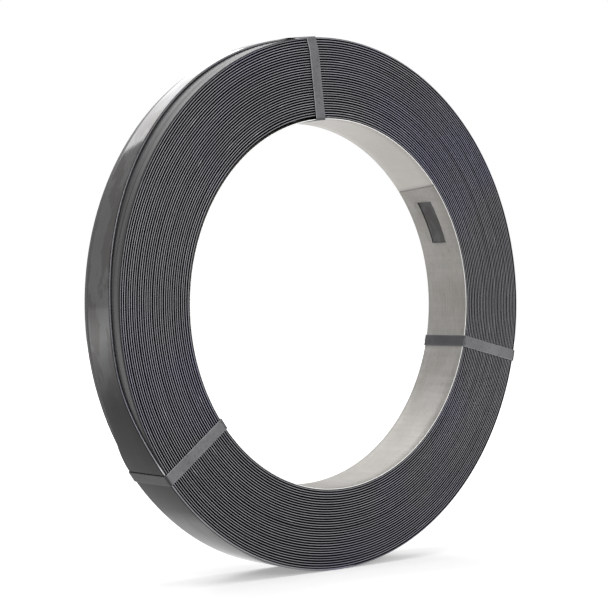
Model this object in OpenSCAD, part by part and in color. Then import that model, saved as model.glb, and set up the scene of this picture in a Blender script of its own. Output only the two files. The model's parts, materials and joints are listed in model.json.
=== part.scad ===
// Coil of dark steel strip, wound in one flat spiral round a thin metal liner
// and held by three narrow tie straps.
// The coil stands on its rim: its axis runs along Y and its front face looks to -Y.
// Angles round the coil are clock angles: 0 is the top, and they grow clockwise
// as the front face is seen.
// The spiral is drawn round two centres, half a turn pitch apart. Each half turn is
// a true arc, and it runs into the next one at the same radius.

/* [Strip] */
// Width of the strip, along the coil's axis
strip_w = 31.75; // [19:0.25:60]
// Thickness of the strip
strip_t = 1.27; // [0.9:0.01:2]
// How far the strip's rounded edges draw in from its faces
edge_inset = 0.2; // [0.1:0.05:0.3]
// Depth of the rounded edges, and so of the grooves between turns on the ends
groove_depth = 0.35; // [0.3:0.05:1]

/* [Winding] */
// Number of turns
turn_count = 33; // [10:1:60]
// Air left between one turn and the next
turn_gap = 0.07; // [0.02:0.01:0.3]
// Length of strip that runs on past the top tie strap to the strip's end
tail_l = 3.5; // [1:0.5:20]
// How far the last turn's front edge sits back at the strip's end
setback = 16; // [0.5:0.5:18]

/* [Liner] */
// Diameter of the bore inside the liner
bore_d = 203; // [150:1:420]
// Thickness of the liner
liner_t = 0.5; // [0.3:0.05:1.5]
// How far the liner's edges sit back from the strip's edges
liner_inset = 0.35; // [0:0.05:2]
// Clock angle of the liner's seam
seam_angle = 48; // [0:1:359]
// Open width of the seam
seam_gap = 0.6; // [0.2:0.1:2]
// Clock angle of the middle of the liner's window
window_angle = 61.2; // [0:0.2:359]
// Length of the window round the bore
window_l = 27; // [10:0.5:40]
// Width of the window along the axis
window_w = 12; // [4:0.5:16]

/* [Tie straps] */
// Width of each tie strap
tie_w = 6.5; // [4:0.25:16]
// Thickness of each tie strap
tie_t = 0.38; // [0.25:0.01:0.8]
// Length of the lap where a tie strap's ends are joined, on the back
lap_l = 20; // [8:0.5:30]
// Clock angle of the top tie strap
top_tie_angle = 352.4; // [330:0.1:359]
// Clock angle of the right tie strap
right_tie_angle = 102.3; // [80:0.1:150]
// Clock angle of the left tie strap
left_tie_angle = 232.3; // [225:0.1:270]

/* [Fits] */
// Play between the liner and the first turn
liner_play = 0.05; // [0:0.01:0.2]
// Play between the tie straps and what they go round
tie_play = 0.05; // [0.02:0.01:0.1]

/* [Hidden] */
$fn = 180;
bore_r = bore_d / 2;
liner_w = strip_w - 2 * liner_inset;
turn_pitch = strip_t + turn_gap;
// Distance between the spiral's two centres, which is also how much wider the
// half turns about the second centre are
step = turn_pitch / 2;
first_r = bore_r + liner_t + liner_play;
outer_r = first_r + turn_count * turn_pitch - turn_gap;
// Clock angle at which the strip starts inside and ends outside
end_angle = top_tie_angle + (tie_w / 2 + tail_l) / outer_r * 180 / PI;
// Height of the bore's axis, with the half turns about the second centre on the floor
axis_h = outer_r + step * (1 - cos(end_angle));
// Half of the width that the tie straps go round: the strip, or the liner with
// room for the bend of a strap
bundle_half = max(strip_w / 2, liner_w / 2 + edge_inset);
// Inner faces and inner bend of a tie strap
tie_in_r = bore_r - tie_play;
tie_half = bundle_half + tie_play;
tie_bend = edge_inset + tie_play;
// Length by which cuts run past what they cut
past = 1;

// Stands a coil that was turned about Z on its rim
module on_rim() {
  translate([0, 0, axis_h]) rotate([90, 0, 0]) children();
}

// Turns what lies along +X to a clock angle
module at_clock(angle) {
  rotate([0, 0, 90 - angle]) children();
}

// Radius of the coil's outer wall at a clock angle. The half turn that follows the
// strip's end is round the first centre, and the other half is round the second.
function wall_r(clock) =
  let (past_end = (clock - end_angle + 360) % 360)
  past_end <= 180
    ? outer_r
    : step * cos(past_end) + sqrt(pow(outer_r + step, 2) - pow(step * sin(past_end), 2));

// Half of a flat ring, on the +Y side
module half_ring(inner, outer) {
  difference() {
    intersection() {
      circle(outer);
      translate([-2 * outer, 0]) square([4 * outer, 2 * outer]);
    }
    circle(inner);
  }
}

// One flat turn of the spiral, from the strip's end at +X clockwise: half a turn
// round the first centre, then half a turn round the second
module spiral_turn(inner, outer) {
  rotate(180) half_ring(inner, outer);
  translate([step, 0]) half_ring(inner + step, outer + step);
}

// All the turns as one body, with the edge of each turn raised on both ends
module wound_strip() {
  linear_extrude(strip_w - 2 * groove_depth, center = true) spiral_turn(first_r, outer_r);
  for (side = [-1, 1])
    translate([0, 0, side * (strip_w - groove_depth) / 2])
      linear_extrude(groove_depth, center = true)
        for (turn = [0 : turn_count - 1])
          let (inner = first_r + turn * turn_pitch)
            spiral_turn(inner + edge_inset, inner + strip_t - edge_inset);
}

// The last half turn alone, with room in front of and behind it
module last_half_turn() {
  translate([step, 0, 0])
    linear_extrude(2 * strip_w, center = true)
      half_ring(outer_r + step - strip_t - turn_gap, outer_r + step + past);
}

// What is taken off the last turn's front edge: all that lies in front of a sloping
// plane, which leaves the edge at the left tie and is deepest at the strip's end
module setback_cut() {
  chord_r = outer_r * cos(end_angle - left_tie_angle);
  slope = atan(setback / (outer_r - chord_r));
  at_clock(end_angle)
    translate([chord_r, 0, strip_w / 2])
      rotate([0, slope, 0])
        translate([0, -2 * outer_r, 0]) cube([3 * outer_r, 4 * outer_r, strip_w]);
}

module strip_coil() {
  color("#4a4a50")
    on_rim()
      difference() {
        at_clock(end_angle) wound_strip();
        intersection() {
          at_clock(end_angle) last_half_turn();
          setback_cut();
        }
      }
}

module inner_liner() {
  color("#b4b0ac")
    on_rim()
      difference() {
        rotate_extrude()
          translate([bore_r, -liner_w / 2]) square([liner_t, liner_w]);
        at_clock(seam_angle)
          translate([bore_r - past, -seam_gap / 2, -strip_w])
            cube([liner_t + 2 * past, seam_gap, 2 * strip_w]);
        at_clock(window_angle)
          translate([bore_r / 2, -window_l / 2, -window_w / 2])
            cube([bore_r, window_l, window_w]);
      }
}

// Rectangle round the coil's section, with its corners rounded by bend
module section_outline(low_r, high_r, half, bend) {
  translate([low_r + bend, -half]) square([high_r - low_r - 2 * bend, 2 * half]);
  translate([low_r, -half + bend]) square([high_r - low_r, 2 * half - 2 * bend]);
  for (r = [low_r + bend, high_r - bend], z = [-half + bend, half - bend])
    translate([r, z]) circle(bend);
}

// Section through a tie strap that lies on an outer wall of radius tie_out_r
module tie_profile(tie_out_r) {
  difference() {
    section_outline(tie_in_r - tie_t, tie_out_r + tie_t, tie_half + tie_t, tie_bend + tie_t);
    section_outline(tie_in_r, tie_out_r, tie_half, tie_bend);
  }
  translate([(tie_in_r + tie_out_r - lap_l) / 2, -tie_half - 2 * tie_t]) square([lap_l, tie_t]);
}

module tie_strap(angle) {
  color("#7c7c80")
    on_rim()
      at_clock(angle)
        intersection() {
          rotate_extrude() tie_profile(wall_r(angle) + tie_play);
          translate([0, -tie_w / 2, -strip_w]) cube([2 * outer_r, tie_w, 2 * strip_w]);
        }
}

module tie_strap_top() { tie_strap(top_tie_angle); }

module tie_strap_right() { tie_strap(right_tie_angle); }

module tie_strap_left() { tie_strap(left_tie_angle); }

strip_coil();
inner_liner();
tie_strap_top();
tie_strap_right();
tie_strap_left();
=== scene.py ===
# Looks of a coil of dark steel strip with a bare metal liner and three tie straps,
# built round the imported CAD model. Sizes are in metres, unless a comment says mm.
# Angles round the coil are clock angles in degrees: 0 is the top, and they grow
# clockwise as the front face, which looks to -Y, is seen.
import json
import math

import bpy
import numpy as np
from mathutils import Matrix, Vector


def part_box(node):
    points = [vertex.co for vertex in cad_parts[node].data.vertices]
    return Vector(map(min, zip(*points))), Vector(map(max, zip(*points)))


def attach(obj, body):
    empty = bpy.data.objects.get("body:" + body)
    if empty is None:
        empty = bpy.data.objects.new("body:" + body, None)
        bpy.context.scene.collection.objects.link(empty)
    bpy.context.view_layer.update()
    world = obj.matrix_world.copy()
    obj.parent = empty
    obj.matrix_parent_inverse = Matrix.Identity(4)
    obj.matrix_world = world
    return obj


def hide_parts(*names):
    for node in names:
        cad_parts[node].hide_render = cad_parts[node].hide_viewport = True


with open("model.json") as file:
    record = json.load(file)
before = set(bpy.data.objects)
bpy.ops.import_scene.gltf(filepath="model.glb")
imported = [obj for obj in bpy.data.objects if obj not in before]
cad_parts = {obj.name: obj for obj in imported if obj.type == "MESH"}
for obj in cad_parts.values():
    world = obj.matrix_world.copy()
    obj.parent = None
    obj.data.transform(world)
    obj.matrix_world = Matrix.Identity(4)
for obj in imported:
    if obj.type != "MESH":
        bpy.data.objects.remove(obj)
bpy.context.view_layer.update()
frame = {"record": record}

MM = 0.001

# Sizes read from the frame
BORE = frame["record"]["mounts"][0]
AXIS_H = BORE["pos_m"][2]
BORE_R = BORE["dims"]["r_mm"] * MM
strip_low, strip_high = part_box("strip_coil")
liner_low, liner_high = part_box("inner_liner")
HALF_W = (strip_high.y - strip_low.y) / 2
LINER_HALF = (liner_high.y - liner_low.y) / 2

# Sizes repeated from the part's source
STRIP_T = 1.27 * MM
TURN_GAP = 0.07 * MM
TURNS = 33
PITCH = STRIP_T + TURN_GAP
# Distance between the spiral's two centres
STEP = PITCH / 2
LINER_T = 0.5 * MM
LINER_PLAY = 0.05 * MM
FIRST_R = BORE_R + LINER_T + LINER_PLAY
OUTER_R = FIRST_R + TURNS * PITCH - TURN_GAP
TOP_TIE = 352.4
RIGHT_TIE = 102.3
LEFT_TIE = 232.3
TIE_W = 6.5 * MM
TIE_T = 0.38 * MM
TIE_PLAY = 0.05 * MM
LAP_L = 20 * MM
TAIL_L = 3.5 * MM
END_CLOCK = TOP_TIE + math.degrees((TIE_W / 2 + TAIL_L) / OUTER_R)
SETBACK = 16 * MM
SEAM_CLOCK = 48.0
WINDOW_CLOCK = 61.2
WINDOW_L = 27 * MM

# Sizes that are a little smaller here than in the part's source, as the photograph has them
SEAM_GAP = 0.25 * MM
WINDOW_W = 11.2 * MM


# Shapes

def ease(part):
    """Smooth step for a share from 0 to 1."""
    return part * part * (3 - 2 * part)


def ramp(value, start, full):
    """0 before start, 1 from full on, and a straight line between them."""
    return np.clip((value - start) / (full - start), 0.0, 1.0)


def polar(radius, clock, y):
    """Points at radii from the bore's axis and clock angles."""
    angle = np.radians(clock)
    x = radius * np.sin(angle)
    z = AXIS_H + radius * np.cos(angle)
    return np.stack(np.broadcast_arrays(x, y, z), axis=-1)


def turn_radius(turn, past_end):
    """Inner radius of a turn, past_end degrees after the place where the strip ends."""
    base = FIRST_R + turn * PITCH
    wide = base + STEP
    angle = np.radians(past_end)
    second = STEP * np.cos(angle) + np.sqrt(wide ** 2 - (STEP * np.sin(angle)) ** 2)
    return np.where(past_end <= 180.0, base, second)


def wall_radius(clock):
    """Radius of the coil's outer wall at a clock angle."""
    past_end = (clock - END_CLOCK) % 360.0
    return float(turn_radius(TURNS - 1, past_end)) + STRIP_T


def smooth_noise(position, seed):
    """Seeded noise along a line, from 0 to 1, with one random value for each unit."""
    period = 4096
    values = np.random.default_rng(seed).random(period)
    whole = np.floor(position).astype(int)
    part = ease(position - whole)
    return values[whole % period] * (1 - part) + values[(whole + 1) % period] * part


def new_piece(name, points, faces, material):
    """Makes a mesh object that moves with the coil."""
    mesh = bpy.data.meshes.new(name)
    mesh.from_pydata([tuple(p) for p in points], [], faces)
    mesh.materials.append(material)
    piece = bpy.data.objects.new(name, mesh)
    bpy.context.scene.collection.objects.link(piece)
    mesh.shade_smooth()
    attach(piece, "root")
    return piece


def loft(rings, close_path):
    """Points and faces of a skin over closed rings of points, laid out as [ring, point, xyz].
    A path that isn't closed gets a cap at each end."""
    count, size = rings.shape[:2]
    faces = []
    for i in range(count if close_path else count - 1):
        j = (i + 1) % count
        for k in range(size):
            m = (k + 1) % size
            faces.append((i * size + k, j * size + k, j * size + m, i * size + m))
    if not close_path:
        last = (count - 1) * size
        faces.append(tuple(range(size)))
        faces.append(tuple(last + k for k in reversed(range(size))))
    return rings.reshape(-1, 3), faces


def set_attribute(piece, name, values):
    """Stores one number for each point, for the material to read."""
    layer = piece.data.attributes.new(name, "FLOAT", "POINT")
    layer.data.foreach_set("value", np.asarray(values, dtype=np.float32).ravel())


# Node helpers. A value that they take is a number, a colour or another node's socket.

def new_material(name):
    material = bpy.data.materials.new(name)
    material.use_nodes = True
    tree = material.node_tree
    return material, tree, tree.nodes["Principled BSDF"]


def feed(tree, socket, value):
    """Links a socket to another one, or sets it."""
    if isinstance(value, bpy.types.NodeSocket):
        tree.links.new(value, socket)
    else:
        socket.default_value = value


def node(tree, kind, inputs=None, **settings):
    made = tree.nodes.new(kind)
    for key, value in settings.items():
        setattr(made, key, value)
    for key, value in (inputs or {}).items():
        feed(tree, made.inputs[key], value)
    return made


def attribute(tree, name):
    return node(tree, "ShaderNodeAttribute", attribute_name=name).outputs["Fac"]


def object_place(tree):
    return node(tree, "ShaderNodeTexCoord").outputs["Object"]


def across_width(tree, place):
    """How far a place lies along the coil's axis."""
    return node(tree, "ShaderNodeSeparateXYZ", {0: place}).outputs["Y"]


def math_node(tree, operation, first, second):
    return node(tree, "ShaderNodeMath", {0: first, 1: second}, operation=operation).outputs[0]


def times(tree, first, second):
    return math_node(tree, "MULTIPLY", first, second)


def plus(tree, first, second):
    return math_node(tree, "ADD", first, second)


def spread(tree, value, low, high, to_low, to_high):
    """Maps a range of a value to another range, and clamps it there."""
    inputs = {
        "Value": value,
        "From Min": low,
        "From Max": high,
        "To Min": to_low,
        "To Max": to_high,
    }
    return node(tree, "ShaderNodeMapRange", inputs).outputs["Result"]


def patches(tree, value, start, full, strength=1.0):
    """0 where a value is below start, and strength where it is above full."""
    return spread(tree, value, start, full, 0.0, strength)


def blend_colour(tree, factor, first, second):
    """Lays a second colour over a first one."""
    made = tree.nodes.new("ShaderNodeMix")
    made.data_type = "RGBA"
    # A mix node's sockets for colours come after those for its other types
    for index, value in ((0, factor), (6, first), (7, second)):
        feed(tree, made.inputs[index], value)
    return made.outputs[2]


def noise(tree, vector, scale=1.0, detail=3.0, roughness=0.5):
    inputs = {"Vector": vector, "Scale": scale, "Detail": detail, "Roughness": roughness}
    return node(tree, "ShaderNodeTexNoise", inputs).outputs["Fac"]


def stretched(tree, across, along, third):
    """A coordinate for noise that is drawn out along a band. across and along are each a
    value and the number of noise cells in one unit of it."""
    inputs = {0: times(tree, *across), 1: times(tree, *along), 2: third}
    return node(tree, "ShaderNodeCombineXYZ", inputs).outputs[0]


def add_bump(tree, shader, height, strength):
    inputs = {"Height": height, "Strength": strength, "Distance": 0.1 * MM}
    bump = node(tree, "ShaderNodeBump", inputs)
    tree.links.new(bump.outputs[0], shader.inputs["Normal"])


def rgb(red, green, blue):
    return (red, green, blue, 1.0)


def grey(level, tint=0.0):
    """A grey, with its blue raised by a share of it."""
    return rgb(level, level, level * (1 + tint))


# Materials

COAT_LOW = grey(0.092, 0.02)
COAT_HIGH = grey(0.115)
DRAWN_LINE = grey(0.125)
OIL_SMEAR = rgb(0.056, 0.050, 0.046)
# Painted shade, laid on the tail round the left tie and on the first turn behind the window
PAINTED_SHADE_TONE = grey(0.012)
RUBBED_COAT = grey(0.105, 0.02)
RUB_LINE = grey(0.02)
BARE_EDGE = grey(0.40, 0.08)
BLUE_EDGE = rgb(0.345, 0.345, 0.49)
BRIGHT_NICK = grey(0.75)
# Painted shade for the gaps between turns and for the line at an open wall's edge
GAP_SHADE_PAINT = grey(0.005, 0.1)


def strip_material():
    """Dark glossy strip, worn to bare grey metal along the edges of its turns."""
    material, tree, shader = new_material("dark_strip")
    rim = attribute(tree, "rim")
    gap = attribute(tree, "gap")
    along = attribute(tree, "along")
    turn = attribute(tree, "turn")
    dull = attribute(tree, "dull")
    place = object_place(tree)
    across = across_width(tree, place)

    # A clouded coat, with faint drawing lines along the strip's wall
    cloud = noise(tree, place, scale=28.0, detail=4.0, roughness=0.55)
    colour = blend_colour(tree, patches(tree, cloud, 0.35, 0.65), COAT_LOW, COAT_HIGH)
    lines = stretched(tree, (across, 2600.0), (along, 3.0), turn)
    drawn = noise(tree, lines, roughness=0.6)
    colour = blend_colour(tree, patches(tree, drawn, 0.45, 0.75, 0.5), colour, DRAWN_LINE)

    # Uneven blueing and oil smears, in patches drawn out along the strip
    smears = stretched(tree, (across, 110.0), (along, 36.0), turn)
    smeared = noise(tree, smears, detail=4.0, roughness=0.6)
    colour = blend_colour(tree, patches(tree, smeared, 0.49, 0.53, 0.45), colour, OIL_SMEAR)
    # Painted shade on the tail round the left tie and on the first turn behind the window
    colour = blend_colour(tree, attribute(tree, "dark"), colour, PAINTED_SHADE_TONE)

    # The rubbed wall under the tail, with thin dark lines
    colour = blend_colour(tree, times(tree, dull, 0.8), colour, RUBBED_COAT)
    rubs = stretched(tree, (across, 800.0), (along, 6.0), 5.0)
    rubbed = patches(tree, noise(tree, rubs, detail=1.0), 0.52, 0.62, 0.65)
    colour = blend_colour(tree, times(tree, dull, rubbed), colour, RUB_LINE)

    # Edges worn bare, more on some turns than on others, with a blue cast here and there
    lengthwise = stretched(tree, (turn, 7.3), (along, 9.0), 0.0)
    slow = noise(tree, lengthwise, detail=4.0, roughness=0.6)
    fine = noise(tree, place, scale=900.0, detail=2.0)
    wear = times(tree, rim, spread(tree, slow, 0.3, 0.7, 0.5, 1.0))
    wear = times(tree, wear, spread(tree, fine, 0.3, 0.7, 0.75, 1.0))
    cast = patches(tree, noise(tree, place, scale=11.0, detail=2.0), 0.5, 0.68)
    edge = blend_colour(tree, cast, BARE_EDGE, BLUE_EDGE)
    colour = blend_colour(tree, wear, colour, edge)

    # Small bright nicks where a turn's edge was knocked, and painted shade in the gaps between the
    # turns
    colour = blend_colour(tree, attribute(tree, "nick"), colour, BRIGHT_NICK)
    colour = blend_colour(tree, gap, colour, GAP_SHADE_PAINT)
    tree.links.new(colour, shader.inputs["Base Color"])

    shader.inputs["Metallic"].default_value = 0.85
    shader.inputs["Specular Tint"].default_value = grey(0.75)
    rough = spread(tree, drawn, 0.3, 0.7, 0.07, 0.12)
    for where, added in ((rim, 0.33), (dull, 0.4), (gap, 0.6)):
        rough = plus(tree, rough, times(tree, where, added))
    tree.links.new(rough, shader.inputs["Roughness"])
    add_bump(tree, shader, drawn, 0.05)
    return material


LINER_LOW = rgb(0.225, 0.213, 0.197)
LINER_HIGH = rgb(0.30, 0.29, 0.276)
LINER_BAND = rgb(0.20, 0.193, 0.175)
LINER_ROLLED = rgb(0.42, 0.41, 0.395)
LINER_SPECK = rgb(0.15, 0.14, 0.13)
# Painted light for the band's outer end, near the top of the bore
LINER_PAINTED_LIGHT = rgb(0.53, 0.51, 0.485)
LINER_RIM = rgb(0.85, 0.85, 0.84)


def liner_material():
    """Bare rolled metal with faint lines, dull clouds and bright rubbed edges."""
    material, tree, shader = new_material("bare_liner")
    place = object_place(tree)
    across = across_width(tree, place)
    around = attribute(tree, "along")

    cloud = noise(tree, place, scale=30.0, detail=4.0, roughness=0.6)
    colour = blend_colour(tree, patches(tree, cloud, 0.35, 0.65), LINER_LOW, LINER_HIGH)
    bands = stretched(tree, (across, 12.0), (around, 28.0), 3.0)
    banded = noise(tree, bands, roughness=0.6)
    colour = blend_colour(tree, patches(tree, banded, 0.4, 0.7, 0.45), colour, LINER_BAND)
    lines = stretched(tree, (across, 900.0), (around, 9.0), 0.0)
    rolled = noise(tree, lines, detail=4.0, roughness=0.65)
    colour = blend_colour(tree, patches(tree, rolled, 0.35, 0.75, 0.4), colour, LINER_ROLLED)
    speck = noise(tree, place, scale=420.0, detail=2.0, roughness=0.6)
    colour = blend_colour(tree, patches(tree, speck, 0.62, 0.74, 0.35), colour, LINER_SPECK)

    # Painted light: the band's outer end, near the top of the bore, is made paler than the rest
    colour = blend_colour(tree, attribute(tree, "pale"), colour, LINER_PAINTED_LIGHT)
    colour = blend_colour(tree, attribute(tree, "rim"), colour, LINER_RIM)
    tree.links.new(colour, shader.inputs["Base Color"])

    shader.inputs["Metallic"].default_value = 0.9
    rough = spread(tree, rolled, 0.3, 0.7, 0.52, 0.64)
    tree.links.new(rough, shader.inputs["Roughness"])
    add_bump(tree, shader, rolled, 0.12)
    return material


TIE_LOW = grey(0.11, 0.06)
TIE_HIGH = grey(0.15, 0.05)
TIE_ROLLED = grey(0.23, 0.04)
TIE_RIM = grey(0.34, 0.03)
TIE_SPECK = grey(0.06, 0.05)
TIE_DARK = grey(0.02, 0.05)


def tie_material():
    """Plain rolled steel band, satin mid grey, with lighter rubbed edges."""
    material, tree, shader = new_material("tie_band")
    place = object_place(tree)

    cloud = noise(tree, place, scale=60.0, detail=4.0, roughness=0.6)
    colour = blend_colour(tree, patches(tree, cloud, 0.35, 0.65), TIE_LOW, TIE_HIGH)
    lines = stretched(tree, (attribute(tree, "side"), 2200.0), (attribute(tree, "along"), 40.0), 0.0)
    rolled = noise(tree, lines, detail=4.0, roughness=0.65)
    colour = blend_colour(tree, patches(tree, rolled, 0.4, 0.75, 0.4), colour, TIE_ROLLED)
    rubbed = times(tree, attribute(tree, "rim"), 0.6)
    colour = blend_colour(tree, rubbed, colour, TIE_RIM)
    speck = noise(tree, place, scale=500.0, detail=2.0, roughness=0.6)
    colour = blend_colour(tree, patches(tree, speck, 0.55, 0.7, 0.5), colour, TIE_SPECK)
    colour = blend_colour(tree, attribute(tree, "dark"), colour, TIE_DARK)
    tree.links.new(colour, shader.inputs["Base Color"])

    shader.inputs["Metallic"].default_value = 0.85
    rough = spread(tree, rolled, 0.3, 0.7, 0.32, 0.46)
    tree.links.new(rough, shader.inputs["Roughness"])
    add_bump(tree, shader, rolled, 0.15)
    return material


# The wound strip

# Rings of points in one turn
STATIONS = 180
# Edge of the strip, from its inner face to its outer one, in mm: how far out, how far
# out on the loose tail, how deep behind the edge, then how much of it is worn bare and
# how much is painted with the shade of a gap. Covered turns all but touch behind their
# edges, so no light comes through between them.
EDGE = (
    (0.00, 0.00, 1.10, 0.0, 1.0),
    (0.03, 0.03, 0.50, 0.0, 1.0),
    (0.40, 0.16, 0.07, 0.0, 1.0),
    (0.52, 0.26, 0.00, 1.0, 0.0),
    (0.73, 0.99, 0.00, 1.0, 0.0),
    (0.85, 1.09, 0.07, 0.0, 1.0),
    (1.22, 1.22, 0.50, 0.0, 1.0),
    (1.335, 1.25, 1.10, 0.0, 1.0),
)
# How far out, in mm, the wall of the last two turns lies
OPEN_OUT = 1.25
# Depth in mm past which an open wall is clear of the painted shade line at its edge
LINE_DEEP = 1.0
# Strength of that painted shade line on an open wall, and of the painted gap shade at the tail's edges,
# and the tail's wear
OPEN_LINE = 0.6
TAIL_LINE = 0.2
TAIL_WORN = 0.75
# Slow and quick wander of the edges: its reach and the noise cells in one turn, then a
# seed for each on the two ends
WANDER = ((0.14 * MM, 2.3), (0.10 * MM, 9.0))
FRONT_SEEDS = (1, 2)
BACK_SEEDS = (3, 4)
# Slow and quick lean of the edges in and out, given in the same way, and the depth in mm
# at which it ends
EDGE_LEAN = ((0.14 * MM, 3.1), (0.08 * MM, 13.0))
FRONT_LEAN_SEEDS = (5, 6)
BACK_LEAN_SEEDS = (7, 8)
EDGE_LEAN_DEEP = 0.5
# Where the tail starts to draw back from the edges, past the left tie
TAIL_CLOCK = LEFT_TIE + 2.0
# How far the tail's back edge sits in, and the angle that it takes to get there
BACK_SETBACK = 5.0 * MM
BACK_SWEEP = 12.0
# A dent in the tail's front edge: its depth, its middle and its half width
DENT = 3.0 * MM
DENT_CLOCK = 253.0
DENT_SWEEP = 11.0
# Clock angles between which painted shade comes onto the tail, and those between which it clears
DARK_RISE = (220.0, 222.0)
DARK_FALL = (262.0, 250.0)
# Strength of the painted shade on the tail there, and on the first turn, which is seen through the
# window
TAIL_PAINTED_SHADE = 0.9
FIRST_TURN_PAINTED_SHADE = 0.4
# Knocked spots on each end, the row of EDGE that they are on, and how bright they are
NICKS = 22
NICK_ROW = 4
NICK_LEVEL = 0.8
NICK_SEED = 21


def setback_at(radius, clock):
    """How far the last turn's front edge sits back at a clock angle."""
    chord = OUTER_R * math.cos(math.radians(END_CLOCK - LEFT_TIE))
    height = radius * np.cos(np.radians(clock - END_CLOCK))
    depth = SETBACK * (height - chord) / (OUTER_R - chord)
    dent = DENT * np.exp(-((clock - DENT_CLOCK) / DENT_SWEEP) ** 2)
    return np.maximum(depth, 0.0) + dent


def back_setback_at(clock):
    """How far the last turn's back edge sits in at a clock angle."""
    return BACK_SETBACK * ease(ramp(clock, TAIL_CLOCK, TAIL_CLOCK + BACK_SWEEP))


def wander(wound, waves, seeds):
    """Uneven lengths from 0 up, from turn to turn and along each turn."""
    return sum(reach * smooth_noise(wound * rate, seed) for (reach, rate), seed in zip(waves, seeds))


def make_strip(material):
    """One strip wound in a flat spiral, with rounded edges that wander and lean a little."""
    count = TURNS * STATIONS + 1
    wound = np.arange(count) / STATIONS
    turn = np.minimum(np.floor(wound), TURNS - 1)
    past_end = (wound - turn) * 360.0
    clock = END_CLOCK + past_end
    tail_clock = clock - 360.0
    inner = turn_radius(turn, past_end)
    last = turn == TURNS - 1
    tail = last & (past_end > 180.0)
    under_tail = (turn == TURNS - 2) & (tail_clock > TAIL_CLOCK)
    front_in = wander(wound, WANDER, FRONT_SEEDS) + np.where(tail, setback_at(inner, tail_clock), 0.0)
    back_in = wander(wound, WANDER, BACK_SEEDS) + np.where(tail, back_setback_at(tail_clock), 0.0)
    front = -HALF_W + front_in
    back = HALF_W - back_in
    farthest = np.where(turn < TURNS - 2, PITCH / MM, OPEN_OUT)
    middle_lean = sum(reach for reach, _ in EDGE_LEAN) / 2
    front_lean = np.where(tail, 0.0, wander(wound, EDGE_LEAN, FRONT_LEAN_SEEDS) - middle_lean)
    back_lean = np.where(tail, 0.0, wander(wound, EDGE_LEAN, BACK_LEAN_SEEDS) - middle_lean)

    size = 2 * len(EDGE)
    rings = np.zeros((count, size, 3))
    gap = np.zeros((count, size))
    rim = np.zeros((count, size))
    for k, (out, tail_out, deep, worn, hidden) in enumerate(EDGE):
        reach = np.minimum(np.where(tail, tail_out, out), farthest) * MM
        # A wall that no other turn covers shows its finish, with a painted shade line at its edge;
        # covered walls carry the painted shade of a gap
        on_outside = out > STRIP_T / MM / 2
        bare_wall = (last | under_tail) if on_outside else turn == 0
        line = 0.0 if deep > LINE_DEEP else OPEN_LINE * hidden
        covered = np.where(tail, TAIL_LINE * hidden, hidden)
        leaning = max(0.0, 1 - deep / EDGE_LEAN_DEEP)
        ends = ((k, front + deep * MM, front_lean), (size - 1 - k, back - deep * MM, back_lean))
        for place, y, lean in ends:
            rings[:, place] = polar(inner + reach + leaning * lean, clock, y)
            gap[:, place] = np.where(bare_wall, line, covered)
            rim[:, place] = np.where(tail, TAIL_WORN * worn, worn)
    points, faces = loft(rings, False)
    piece = new_piece("strip_coil_turns", points, faces, material)
    set_attribute(piece, "rim", rim)
    set_attribute(piece, "gap", gap)
    set_attribute(piece, "along", np.repeat(wound, size))
    set_attribute(piece, "turn", np.repeat(turn, size))

    # The wall under the tail is rubbed dull. Painted shade darkens the tail round the left tie, and the
    # first turn behind the window
    set_attribute(piece, "dull", np.repeat(np.where(under_tail, 1.0, 0.0), size))
    zone = ramp(tail_clock, *DARK_RISE) * ramp(tail_clock, *DARK_FALL)
    dark = np.where(tail, TAIL_PAINTED_SHADE * zone, np.where(turn == 0, FIRST_TURN_PAINTED_SHADE, 0.0))
    set_attribute(piece, "dark", np.repeat(dark, size))

    # Knocked spots on a few turns' edges, on both ends
    picked = np.random.default_rng(NICK_SEED).choice(count, 2 * NICKS, replace=False)
    nick = np.zeros((count, size))
    nick[picked[:NICKS], NICK_ROW] = NICK_LEVEL
    nick[picked[NICKS:], size - 1 - NICK_ROW] = NICK_LEVEL
    set_attribute(piece, "nick", nick)
    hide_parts("strip_coil")


# The liner

# How far the liner's edges are rounded, along the axis and into the wall
LINER_SOFT = 0.12 * MM
LINER_ROUND = 0.1 * MM
# Steps round the liner: from the seam to the window, along the window, and on to the seam
SEAM_STEPS = 5
WINDOW_STEPS = 12
RING_STEPS = 269
# A row of points between the window and each edge
LINER_ROW = 10 * MM
# The wave in the liner's wall: its height, and the angle of one noise cell
WAVE = 0.05 * MM
WAVE_SWEEP = 13.0
WAVE_SEED = 11
# How far askew the seam is cut, and the angle over which that dies out
SEAM_SKEW = 0.8
SKEW_SWEEP = 4.0
# Angles past the seam between which painted light makes the liner pale, and how pale
PAINTED_LIGHT_FROM = 290.0
PAINTED_LIGHT_FULL = 320.0
PAINTED_LIGHT = 0.6


def grid_faces(solid):
    """Faces of a plate that is cut from a grid of cells, of which some are open. Its points
    are two layers of rows, and each layer has one point more each way than cells."""
    rows, columns = solid.shape
    size = columns + 1
    second = (rows + 1) * size
    faces = []
    for i in range(rows):
        for j in range(columns):
            if not solid[i, j]:
                continue
            a = i * size + j
            b = a + 1
            c = b + size
            d = a + size
            faces.append((d, c, b, a))
            faces.append((second + a, second + b, second + c, second + d))
            sides = ((i - 1, j, a, b), (i, j + 1, b, c), (i + 1, j, c, d), (i, j - 1, d, a))
            for row, column, p, q in sides:
                inside = 0 <= row < rows and 0 <= column < columns
                if not (inside and solid[row, column]):
                    faces.append((p, q, second + q, second + p))
    return faces


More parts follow.
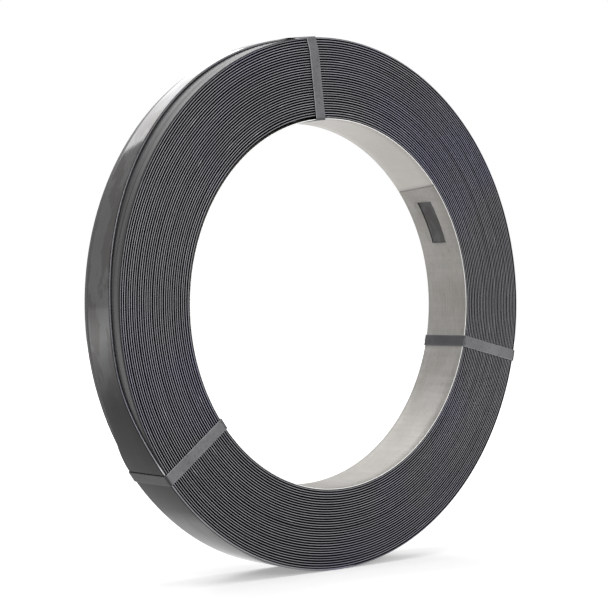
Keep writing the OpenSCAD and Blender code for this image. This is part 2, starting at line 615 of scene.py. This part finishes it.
def make_liner(material):
    """A thin band bent into a ring, with a seam and a window, and a slight wave in its wall."""
    half_window = math.degrees(WINDOW_L / 2 / BORE_R)
    half_seam = math.degrees(SEAM_GAP / 2 / BORE_R)
    low = WINDOW_CLOCK - half_window
    high = WINDOW_CLOCK + half_window
    clocks = np.concatenate([
        np.linspace(SEAM_CLOCK + half_seam, low, SEAM_STEPS + 1)[:-1],
        np.linspace(low, high, WINDOW_STEPS + 1)[:-1],
        np.linspace(high, SEAM_CLOCK + 360.0 - half_seam, RING_STEPS + 1),
    ])
    half = WINDOW_W / 2
    edge = LINER_HALF
    back_rows = np.array([half / 3, half, LINER_ROW, edge - LINER_SOFT, edge])
    rows = np.concatenate([-back_rows[::-1], back_rows])
    wave = WAVE * (smooth_noise(clocks / WAVE_SWEEP, WAVE_SEED) - 0.5)
    from_seam = np.minimum(clocks - SEAM_CLOCK, SEAM_CLOCK + 360.0 - clocks)
    skew = SEAM_SKEW * np.exp(-from_seam / SKEW_SWEEP)
    points = []
    rim = []
    for layer in (0.0, LINER_T):
        for y in rows:
            at_edge = abs(y) == edge
            rounded = LINER_ROUND if at_edge else 0.0
            shift = rounded if layer == 0.0 else -rounded
            points.append(polar(BORE_R + layer + shift + wave, clocks + skew * y / edge, y))
            rim.append(np.full(len(clocks), 1.0 if at_edge else 0.0))

    solid = np.ones((len(rows) - 1, len(clocks) - 1), dtype=bool)
    middle_rows = (rows[:-1] + rows[1:]) / 2
    middle_clocks = (clocks[:-1] + clocks[1:]) / 2
    open_rows = np.abs(middle_rows) < half
    open_columns = (middle_clocks > low) & (middle_clocks < high)
    solid[np.ix_(open_rows, open_columns)] = False
    faces = grid_faces(solid)
    piece = new_piece("inner_liner_band", np.concatenate(points), faces, material)
    # Painted light on the band's outer end, near the top of the bore
    pale = PAINTED_LIGHT * ramp(clocks, SEAM_CLOCK + PAINTED_LIGHT_FROM, SEAM_CLOCK + PAINTED_LIGHT_FULL)
    layers = 2 * len(rows)
    set_attribute(piece, "along", np.tile(np.radians(clocks), layers))
    set_attribute(piece, "rim", np.concatenate(rim))
    set_attribute(piece, "pale", np.tile(pale, layers))
    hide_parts("inner_liner")


# The tie straps

# Bend of a strap's middle layer at a corner, the points on it, the usual step along the
# path, and the points along the lap
TIE_BEND = 0.45 * MM
BEND_POINTS = 7
TIE_STEP = 1.2 * MM
LAP_POINTS = 18
# Rounding of a strap's edges, and the border that is rubbed bright
TIE_SOFT = 0.12 * MM
TIE_BORDER = 0.6 * MM
# Lengths, down from the outer corner, over which a strap leans aside and is bent down
LEAN_L = 10 * MM
DROP_L = 12 * MM
# How dark a strap is on the outer wall and in the bore, and how far each of them reaches
WALL_DARK = 0.85
BORE_DARK = 0.55
WALL_DEPTH = 1.0 * MM
BORE_DEPTH = 0.3 * MM
# Each strap: its node, its clock angle, how far it leans aside and how far it is bent down
TIES = (
    ("tie_strap_top", TOP_TIE, -1.2 * MM, PITCH),
    ("tie_strap_right", RIGHT_TIE, 0.0, 0.0),
    ("tie_strap_left", LEFT_TIE, 0.0, 0.0),
)


def tie_section():
    """Points of a strap's section: how far aside, how far up, and how much it is rubbed."""
    half_t = TIE_T / 2
    half_w = TIE_W / 2
    corner = (
        (half_w, half_t - TIE_SOFT, 1.0),
        (half_w - TIE_SOFT, half_t, 0.6),
        (half_w - TIE_BORDER, half_t, 0.0),
    )
    section = []
    for across, over, order in ((-1, -1, 1), (1, -1, -1), (1, 1, 1), (-1, 1, -1)):
        section += [(across * side, over * up, rubbed) for side, up, rubbed in corner[::order]]
    return np.array(section)


def tie_path(outer, kink, drop):
    """Closed path of a strap's middle layer round the coil's section, and how far it leans
    aside. With a drop its front outer corner is bent down to the turn below."""
    half_t = TIE_T / 2
    inner_r = BORE_R - TIE_PLAY - half_t
    outer_r = outer + TIE_PLAY + half_t
    half = HALF_W + TIE_PLAY + half_t
    corners = (
        (inner_r + TIE_BEND, -half + TIE_BEND, 180.0),
        (outer_r - TIE_BEND, -half + TIE_BEND, 270.0),
        (outer_r - TIE_BEND, half - TIE_BEND, 0.0),
        (inner_r + TIE_BEND, half - TIE_BEND, 90.0),
    )
    bends = []
    for centre_r, centre_y, first in corners:
        for part in np.linspace(0.0, 90.0, BEND_POINTS):
            angle = math.radians(first + part)
            bends.append((centre_r + TIE_BEND * math.cos(angle), centre_y + TIE_BEND * math.sin(angle)))
    bends = np.array(bends)
    path = []
    for start, end in zip(bends, np.roll(bends, -1, axis=0)):
        steps = max(1, int(round(np.linalg.norm(end - start) / TIE_STEP)))
        for k in range(steps):
            path.append(start + (end - start) * k / steps)
    path = np.array(path)
    lean = kink * ease(ramp(path[:, 0], outer_r - LEAN_L, outer_r))
    high = ramp(path[:, 0], outer_r - DROP_L, outer_r)
    ahead = ramp(path[:, 1], SETBACK - half, -half)
    path[:, 0] -= drop * high * ahead
    return path, lean


def make_tie(name, clock, kink, drop, material):
    """A flat band bent round the coil's section, with rubbed edges and a lap on the back."""
    outer = wall_radius(clock)
    section = tie_section()
    size = len(section)
    path, lean = tie_path(outer, kink, drop)
    ahead = np.roll(path, -1, axis=0) - np.roll(path, 1, axis=0)
    ahead /= np.linalg.norm(ahead, axis=1)[:, None]
    outward = np.stack([ahead[:, 1], -ahead[:, 0]], axis=1)
    steps = np.linalg.norm(np.diff(path, axis=0, append=path[:1]), axis=1)
    length = np.concatenate([[0.0], np.cumsum(steps)[:-1]])
    loop = np.zeros((len(path), size, 3))
    for k, (side, up, _) in enumerate(section):
        radius = path[:, 0] + outward[:, 0] * up
        y = path[:, 1] + outward[:, 1] * up
        turned = np.degrees(np.arcsin((side + lean) / radius))
        loop[:, k] = polar(radius, clock + turned, y)
    points, faces = loft(loop, True)

    # The outer end of the band lies over the inner end on the back
    middle = (BORE_R + outer) / 2
    lap_r = np.linspace(middle - LAP_L / 2, middle + LAP_L / 2, LAP_POINTS)
    rise = HALF_W + TIE_PLAY + 1.5 * TIE_T
    lap_section = section[::-1]
    lap = np.zeros((len(lap_r), size, 3))
    for k, (side, up, _) in enumerate(lap_section):
        turned = np.degrees(np.arcsin(side / lap_r))
        lap[:, k] = polar(lap_r, clock + turned, rise + up)
    lap_points, lap_faces = loft(lap, False)
    base = len(points)
    points = np.concatenate([points, lap_points])
    faces += [tuple(base + v for v in face) for face in lap_faces]
    marks = np.concatenate([np.tile(section, (len(path), 1)), np.tile(lap_section, (len(lap_r), 1))])

    # The runs over the outer wall and through the bore are darker than those over the two ends
    reach = np.hypot(points[:, 0], points[:, 2] - AXIS_H)
    on_wall = reach > outer - WALL_DEPTH
    in_bore = reach < BORE_R + BORE_DEPTH
    piece = new_piece(name + "_band", points, faces, material)
    set_attribute(piece, "dark", WALL_DARK * on_wall + BORE_DARK * in_bore)
    set_attribute(piece, "rim", marks[:, 2])
    set_attribute(piece, "along", np.repeat(np.concatenate([length, lap_r]), size))
    set_attribute(piece, "side", marks[:, 0])
    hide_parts(name)


make_strip(strip_material())
make_liner(liner_material())
band = tie_material()
for name, clock, kink, drop in TIES:
    make_tie(name, clock, kink, drop, band)


# Stage: floor, world and lamps

FLOOR_R = 6.0
# The floor's own glow, by how far from the coil: from GLOW_LOW up to white
GLOW_NEAR = 0.25
GLOW_FAR = 0.9
GLOW_LOW = 0.32
# Strength of the world's light on the coil, beside the 1 at which it is seen as white
WORLD_LIGHT = 0.55
# Each lamp: its name, its place, what it looks at, its width and height, and its watts
LAMPS = (
    ("lamp_top", (0.0, -0.2, 1.7), (0, 0, 0.1), (1.4, 1.4), 12),
    ("lamp_front", (-0.5, -2.0, 1.0), (0, 0, 0.15), (1.2, 1.0), 14),
    ("lamp_back", (0.26, 1.25, 1.2), (0.06, 0, 0.2), (1.26, 0.9), 13),
)


def seen_ray(tree):
    """1 for rays by which the background is seen: straight, mirrored or through glass."""
    path = node(tree, "ShaderNodeLightPath")
    seen = plus(tree, path.outputs["Is Camera Ray"], path.outputs["Is Glossy Ray"])
    seen = plus(tree, seen, path.outputs["Is Transmission Ray"])
    return math_node(tree, "MINIMUM", seen, 1.0)


def make_floor():
    """Pale floor that keeps the shadow near the coil and runs out to white."""
    bpy.ops.mesh.primitive_circle_add(vertices=96, radius=FLOOR_R, fill_type="NGON")
    floor = bpy.context.object
    floor.name = "floor"
    material, tree, shader = new_material("pale_floor")
    tree.nodes.remove(shader)
    away = node(tree, "ShaderNodeVectorMath", {0: object_place(tree)}, operation="LENGTH")
    glow = spread(tree, away.outputs["Value"], GLOW_NEAR, GLOW_FAR, GLOW_LOW, 1.0)
    glow = times(tree, glow, seen_ray(tree))
    pale = node(tree, "ShaderNodeBsdfDiffuse", {"Color": grey(0.8)}).outputs[0]
    light = node(tree, "ShaderNodeEmission", {"Color": grey(1.0), "Strength": glow}).outputs[0]
    both = node(tree, "ShaderNodeAddShader", {0: pale, 1: light}).outputs[0]
    tree.links.new(both, tree.nodes["Material Output"].inputs["Surface"])
    floor.data.materials.append(material)


def make_world():
    """White world that lights the coil at a plain level."""
    world = bpy.data.worlds.new("studio")
    bpy.context.scene.world = world
    world.use_nodes = True
    tree = world.node_tree
    background = tree.nodes["Background"]
    background.inputs["Color"].default_value = grey(1.0)
    strength = spread(tree, seen_ray(tree), 0.0, 1.0, WORLD_LIGHT, 1.0)
    tree.links.new(strength, background.inputs["Strength"])


def make_lamp(name, place, target, size, watts):
    data = bpy.data.lights.new(name, "AREA")
    data.shape = "RECTANGLE"
    data.size, data.size_y = size
    data.energy = watts
    lamp = bpy.data.objects.new(name, data)
    lamp.location = place
    aim = Vector(target) - Vector(place)
    lamp.rotation_euler = aim.to_track_quat("-Z", "Y").to_euler()
    bpy.context.scene.collection.objects.link(lamp)


make_floor()
make_world()
for lamp_values in LAMPS:
    make_lamp(*lamp_values)


# Camera at the photograph's viewing angle

# How far round from the front it stands, how far it looks up or down, and how far aside
CAMERA_AROUND = math.radians(42.052)
CAMERA_ABOVE = math.radians(-0.094)
CAMERA_SIDEWAYS = math.radians(-1.229)
# Its distance from the middle of the front face
CAMERA_AWAY = 6.135 * OUTER_R
# Its focal length in pixels of the photograph, and the photograph's width
FOCAL_PIXELS = 1628.5
PHOTO_PIXELS = 608.0
SENSOR_MM = 36.0


def make_camera():
    """Camera that looks at the front face from the left, nearly level."""
    level = math.cos(CAMERA_ABOVE)
    look = Vector((
        math.sin(CAMERA_AROUND) * level,
        math.cos(CAMERA_AROUND) * level,
        -math.sin(CAMERA_ABOVE),
    ))
    right = Vector((math.cos(CAMERA_AROUND), -math.sin(CAMERA_AROUND), 0.0))
    place = Vector((0.0, -HALF_W, AXIS_H)) - look * CAMERA_AWAY
    aim = look * math.cos(CAMERA_SIDEWAYS) + right * math.sin(CAMERA_SIDEWAYS)
    right = right * math.cos(CAMERA_SIDEWAYS) - look * math.sin(CAMERA_SIDEWAYS)
    up = right.cross(aim)
    data = bpy.data.cameras.new("camera")
    data.sensor_width = SENSOR_MM
    data.lens = SENSOR_MM * FOCAL_PIXELS / PHOTO_PIXELS
    data.clip_start = 0.01
    camera = bpy.data.objects.new("camera", data)
    turned = Matrix((right, up, -aim)).transposed().to_4x4()
    camera.matrix_world = Matrix.Translation(place) @ turned
    bpy.context.scene.collection.objects.link(camera)
    bpy.context.scene.camera = camera


make_camera()
bpy.context.scene.view_settings.view_transform = "Standard"
